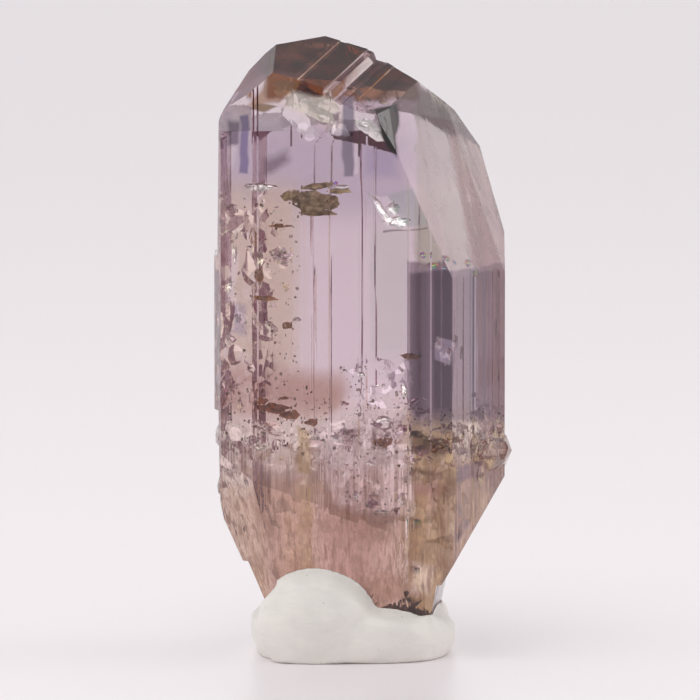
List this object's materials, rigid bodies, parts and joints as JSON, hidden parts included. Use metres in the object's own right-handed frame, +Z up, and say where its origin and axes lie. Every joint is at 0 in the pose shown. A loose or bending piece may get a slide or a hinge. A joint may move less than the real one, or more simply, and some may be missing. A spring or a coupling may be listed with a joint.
{
  "type": "tanzanite crystal",
  "caption": "Rough tanzanite crystal, clear violet to brown, striated along its length and chisel-topped, standing upright in a pinch of white mounting putty.",
  "frame": {"origin": "on the flat underside of the putty, on the crystal's long axis", "axes": "+Z up along the crystal, -Y out of its broad front face, +X to the right as seen from the front"},
  "size_m": [0.0124, 0.0088, 0.0258],
  "materials": {
    "crystal": "clear natural crystal, glassy on its faces and frosted where it is etched or broken",
    "putty": "soft matt white putty with finger marks and specks of dust"
  },
  "bodies": {
    "root": {"tanzanite_crystal": "crystal", "mounting_putty": "putty"}
  },
  "joints": []
}
